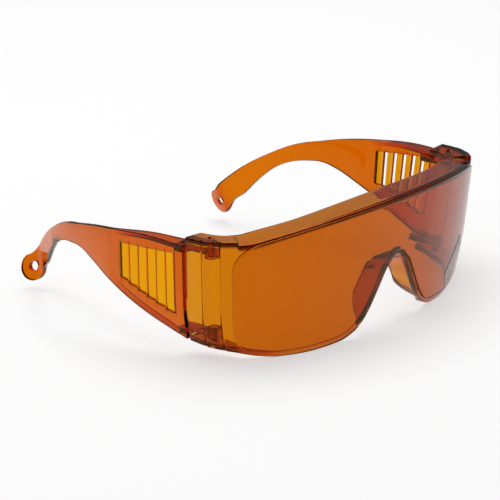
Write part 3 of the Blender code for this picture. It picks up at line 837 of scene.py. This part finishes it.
def moulded_polycarbonate(name, wear, skin, dye):
    """Clear amber polycarbonate, injection moulded in a polished tool: it looks wet,
    darkens with depth so that edges and overlaps go deep red brown, and has a slow
    ripple from the mould's flow and a few faint rubs from wear."""
    material, tree, shader, output = blank_material(name)
    place = add_node(tree, "ShaderNodeTexCoord").outputs["Object"]
    # flow ripple about 14 mm long, too shallow to see except in a reflection
    ripple = add_node(
        tree, "ShaderNodeTexNoise",
        inputs={"Scale": PER_METRE / RIPPLE_LENGTH, "Detail": 2.0, "Roughness": 0.4},
        links={"Vector": place},
    )
    # rubs about 0.8 mm apart and 16 mm long, lying nearly level, drawn coarser than
    # real ones so that they show
    stretch = add_node(
        tree, "ShaderNodeMapping",
        inputs={"Scale": (RUB_STRETCH, RUB_STRETCH, 1.0), "Rotation": (0.2, 0.1, 0.0)},
        links={"Vector": place},
    )
    rubs = add_node(
        tree, "ShaderNodeTexNoise",
        inputs={"Scale": PER_METRE / RUB_SPACING, "Detail": 3.0, "Roughness": 0.6},
        links={"Vector": stretch.outputs["Vector"]},
    )
    haze = add_node(
        tree, "ShaderNodeMapRange",
        inputs={
            "From Min": 0.42, "From Max": 0.8,
            "To Min": PLASTIC_ROUGHNESS, "To Max": PLASTIC_ROUGHNESS + wear,
        },
        links={"Value": rubs.outputs["Fac"]},
    )
    tree.links.new(haze.outputs["Result"], shader.inputs["Roughness"])
    bump = add_node(
        tree, "ShaderNodeBump", inputs={"Strength": 0.25, "Distance": RIPPLE_HEIGHT},
        links={"Height": ripple.outputs["Fac"]},
    )
    tree.links.new(bump.outputs["Normal"], shader.inputs["Normal"])
    shader.inputs["Base Color"].default_value = (*skin, 1.0)
    shader.inputs["Metallic"].default_value = 0.0
    shader.inputs["IOR"].default_value = PLASTIC_IOR
    shader.inputs["Transmission Weight"].default_value = 1.0
    shader.inputs["Specular Tint"].default_value = HIGHLIGHT_TINT
    depth_tint = add_node(
        tree, "ShaderNodeVolumeAbsorption",
        inputs={"Color": (*dye, 1.0), "Density": DYE_DENSITY},
    )
    tree.links.new(depth_tint.outputs["Volume"], output.inputs["Volume"])
    return material


def vinyl_label():
    """Blank matt vinyl, die cut: pale warm grey, slightly mottled by the glue
    and the amber that shows through, with a faint pebble."""
    material, tree, shader, _ = blank_material("matt_vinyl_label")
    place = add_node(tree, "ShaderNodeTexCoord").outputs["Object"]
    # mottle about 2.5 mm across
    mottle = add_node(
        tree, "ShaderNodeTexNoise",
        inputs={"Scale": PER_METRE / MOTTLE_SIZE, "Detail": 4.0, "Roughness": 0.6},
        links={"Vector": place},
    )
    tone = add_node(tree, "ShaderNodeValToRGB", links={"Fac": mottle.outputs["Fac"]})
    tone.color_ramp.elements[0].position = 0.35
    tone.color_ramp.elements[0].color = srgb("B3A09A")
    tone.color_ramp.elements[1].position = 0.68
    tone.color_ramp.elements[1].color = srgb("D8CBC5")
    tree.links.new(tone.outputs["Color"], shader.inputs["Base Color"])
    # film pebble about 0.3 mm, drawn coarser than the real one so that it shows
    pebble = add_node(
        tree, "ShaderNodeTexNoise",
        inputs={"Scale": PER_METRE / PEBBLE_SIZE, "Detail": 1.0},
        links={"Vector": place},
    )
    bump = add_node(
        tree, "ShaderNodeBump", inputs={"Strength": 0.3, "Distance": PEBBLE_HEIGHT},
        links={"Height": pebble.outputs["Fac"]},
    )
    tree.links.new(bump.outputs["Normal"], shader.inputs["Normal"])
    shader.inputs["Roughness"].default_value = 0.55
    shader.inputs["IOR"].default_value = 1.5
    return material


def pale_floor():
    """Opal acrylic top of a light table: matt, and lit softly from below."""
    material, tree, shader, _ = blank_material("opal_acrylic_light_table")
    place = add_node(tree, "ShaderNodeTexCoord").outputs["Object"]
    # very slow unevenness, about 400 mm across
    cloud = add_node(
        tree, "ShaderNodeTexNoise",
        inputs={"Scale": PER_METRE / CLOUD_SIZE, "Detail": 1.0},
        links={"Vector": place},
    )
    tone = add_node(tree, "ShaderNodeValToRGB", links={"Fac": cloud.outputs["Fac"]})
    tone.color_ramp.elements[0].color = srgb("F4F4F4")
    tone.color_ramp.elements[1].color = srgb("F8F8F8")
    tree.links.new(tone.outputs["Color"], shader.inputs["Base Color"])
    shader.inputs["Roughness"].default_value = 0.9
    shader.inputs["Emission Color"].default_value = (1.0, 1.0, 1.0, 1.0)
    shader.inputs["Emission Strength"].default_value = TABLE_GLOW
    return material


# ==================================================================== stage
FLOOR_HALF = 30.0                # metres
CLOUD_SIZE = 400.0               # mm
TABLE_GLOW = 0.55
TENT_GLOW = 0.18
SOFTBOXES = (                    # name, place and size in metres, watts
    ("overhead softbox", (0.1, 0.3, 1.3), (1.3, 1.0), 6.5),
    ("side softbox", (-1.3, 0.1, 0.55), (0.5, 0.9), 0.35),
)


def build_stage():
    bm = bmesh.new()
    bmesh.ops.create_grid(bm, x_segments=4, y_segments=4, size=FLOOR_HALF)
    floor = new_mesh_object("floor", bm)
    floor.data.materials.append(pale_floor())
    world = bpy.data.worlds.new("soft tent")
    world.use_nodes = True
    backdrop = world.node_tree.nodes["Background"]
    backdrop.inputs["Color"].default_value = (1.0, 1.0, 1.0, 1.0)
    backdrop.inputs["Strength"].default_value = TENT_GLOW
    bpy.context.scene.world = world
    for name, place, size, power in SOFTBOXES:
        add_softbox(name, place, size, power)


def add_softbox(name, place, size, power):
    lamp = bpy.data.lights.new(name, "AREA")
    lamp.shape = "RECTANGLE"
    lamp.size, lamp.size_y = size
    lamp.energy = power
    item = bpy.data.objects.new(name, lamp)
    item.location = place
    item.rotation_euler = (-Vector(place)).to_track_quat("-Z", "Y").to_euler()
    bpy.context.scene.collection.objects.link(item)


CAMERA_TURN = -49.607            # degrees round from straight ahead
CAMERA_LIFT = 18.505             # degrees above the floor
CAMERA_ROLL = -0.332
CAMERA_PLACE = (-0.7095, -0.60084, 0.32784)
CAMERA_LENS = 170.96             # mm


def add_camera():
    turn, lift, roll = (math.radians(a) for a in (CAMERA_TURN, CAMERA_LIFT, CAMERA_ROLL))
    level = math.cos(lift)
    back = Vector((math.sin(turn) * level, -math.cos(turn) * level, math.sin(lift)))
    right = Vector((math.cos(turn), math.sin(turn), 0.0))
    up = back.cross(right)
    across = right * math.cos(roll) + up * math.sin(roll)
    upright = up * math.cos(roll) - right * math.sin(roll)
    lens = bpy.data.cameras.new("camera")
    lens.lens = CAMERA_LENS
    lens.sensor_width = 36.0
    lens.clip_start = 0.01
    camera = bpy.data.objects.new("camera", lens)
    facing = Matrix((across, upright, back)).transposed().to_4x4()
    camera.matrix_world = Matrix.Translation(CAMERA_PLACE) @ facing
    bpy.context.scene.collection.objects.link(camera)
    bpy.context.scene.camera = camera


# ===================================================================== main
def finish_piece(piece, body, node, material):
    piece.data.materials.clear()
    piece.data.materials.append(material)
    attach(piece, body)
    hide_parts(node)


def main():
    add_camera()
    build_stage()
    bpy.context.scene.view_settings.view_transform = "Standard"
    plastic = "polycarbonate_moulded_amber_"
    lens_plastic = moulded_polycarbonate(plastic + "lens", 0.05, LENS_SKIN, LENS_DYE)
    arm_plastic = moulded_polycarbonate(plastic + "arm", 0.08, ARM_SKIN, ARM_DYE)
    pin_plastic = moulded_polycarbonate(plastic + "pin", 0.1, ARM_SKIN, ARM_DYE)
    finish_piece(build_front(), "front", "lens_front", lens_plastic)
    for word, side in (("right", -1), ("left", 1)):
        temple = build_temple("temple_" + word + "_look", side)
        finish_piece(temple, word + "_arm", "temple_" + word, arm_plastic)
        for level, span in (("upper", UPPER_PIN), ("lower", LOWER_PIN)):
            node = "hinge_pin_" + level + "_" + word
            pin = hinge_cylinder(node + "_look", PIN_RADIUS, span, (side,), edge=PIN_ROUND)
            finished(pin)
            finish_piece(pin, "front", node, pin_plastic)
    finish_piece(build_label(), "front", "label", vinyl_label())


main()
